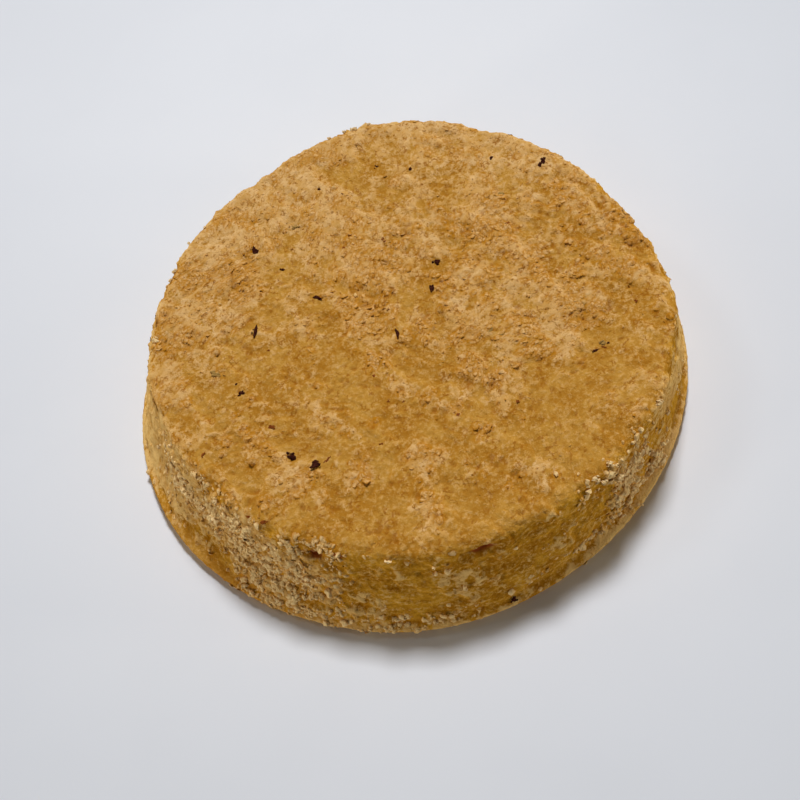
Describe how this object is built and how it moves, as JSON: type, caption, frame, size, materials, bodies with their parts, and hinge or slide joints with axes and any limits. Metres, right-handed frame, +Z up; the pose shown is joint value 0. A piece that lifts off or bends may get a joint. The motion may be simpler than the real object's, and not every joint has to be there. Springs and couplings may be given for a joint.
{
  "type": "soft cookie",
  "caption": "Thick round sandy biscuit with a flat top, a rounded shoulder, a leaning wall and a flat underside, to lie on a plate or be held in the hand.",
  "frame": {"origin": "on the flat underside, below the middle of the cookie's box", "axes": "+Z up through the thickness, from the flat underside to the top; -Y towards the side that the picture shows nearest; +X to the right as seen from there"},
  "size_m": [0.0514, 0.0504, 0.0108],
  "materials": {
    "baked_crust": "matte"
  },
  "bodies": {
    "root": {"cookie": "baked_crust"}
  },
  "joints": []
}
